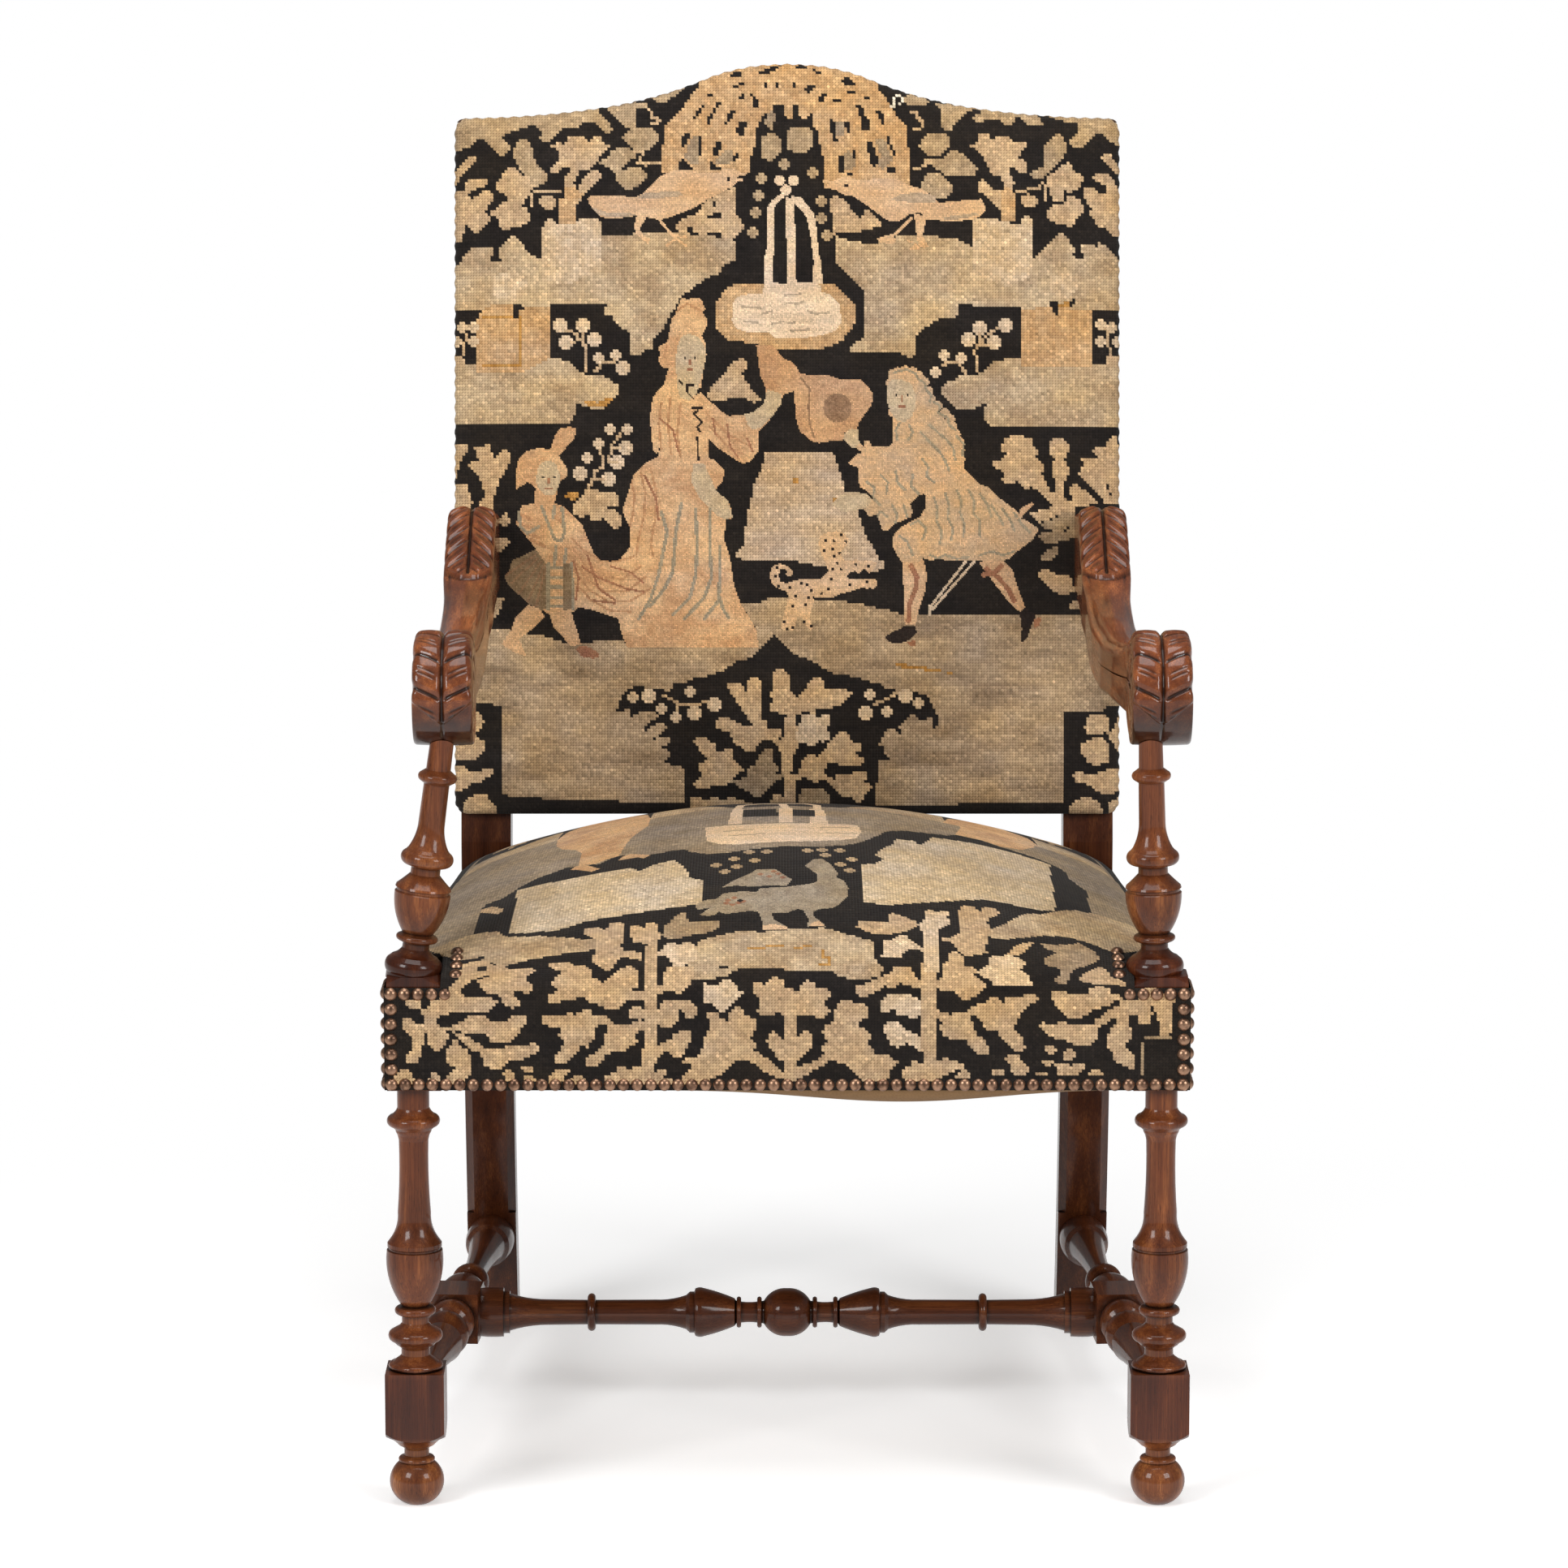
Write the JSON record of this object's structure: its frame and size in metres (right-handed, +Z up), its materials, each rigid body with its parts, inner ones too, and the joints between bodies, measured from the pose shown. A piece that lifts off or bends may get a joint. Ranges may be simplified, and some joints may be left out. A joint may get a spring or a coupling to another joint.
{
  "type": "upholstered armchair",
  "caption": "High-backed armchair with a turned and carved hardwood frame, H stretcher, scrolled arms, domed seat and arched back in needlepoint, edged with dome nails.",
  "frame": {"origin": "on the floor, at the centre of the bounding box in X and Y", "axes": "+Z up, -Y is the way the chair faces, +X to the right of someone looking at its front"},
  "size_m": [0.6838, 0.6998, 1.1871],
  "materials": {
    "walnut": "satin, worn polish",
    "needlepoint": "wool tent stitch on canvas",
    "lining": "plain cotton",
    "stuffing": "matted hair",
    "webbing": "woven jute",
    "bronze": "antique bronze"
  },
  "bodies": {
    "root": {"front_leg_left": "walnut", "front_leg_right": "walnut", "back_post_left": "walnut", "back_post_right": "walnut", "front_rail": "walnut", "rear_rail": "walnut", "side_rail_left": "walnut", "side_rail_right": "walnut", "corner_braces": "walnut", "side_stretcher_left": "walnut", "side_stretcher_right": "walnut", "cross_stretcher": "walnut", "arm_post_left": "walnut", "arm_post_right": "walnut", "arm_left": "walnut", "arm_right": "walnut", "back_top_rail": "walnut", "back_bottom_rail": "walnut", "seat_cover": "needlepoint", "back_cover": "needlepoint", "back_lining": "lining", "seat_dust_cover": "lining", "seat_stuffing": "stuffing", "back_stuffing": "stuffing", "seat_webbing_long": "webbing", "seat_webbing_cross": "webbing", "back_webbing_long": "webbing", "back_webbing_cross": "webbing", "seat_hessian": "webbing", "seat_nails_front": "bronze", "seat_nails_left": "bronze", "seat_nails_right": "bronze", "seat_nails_rear": "bronze", "seat_nails_posts": "bronze", "back_nails": "bronze"}
  },
  "joints": []
}
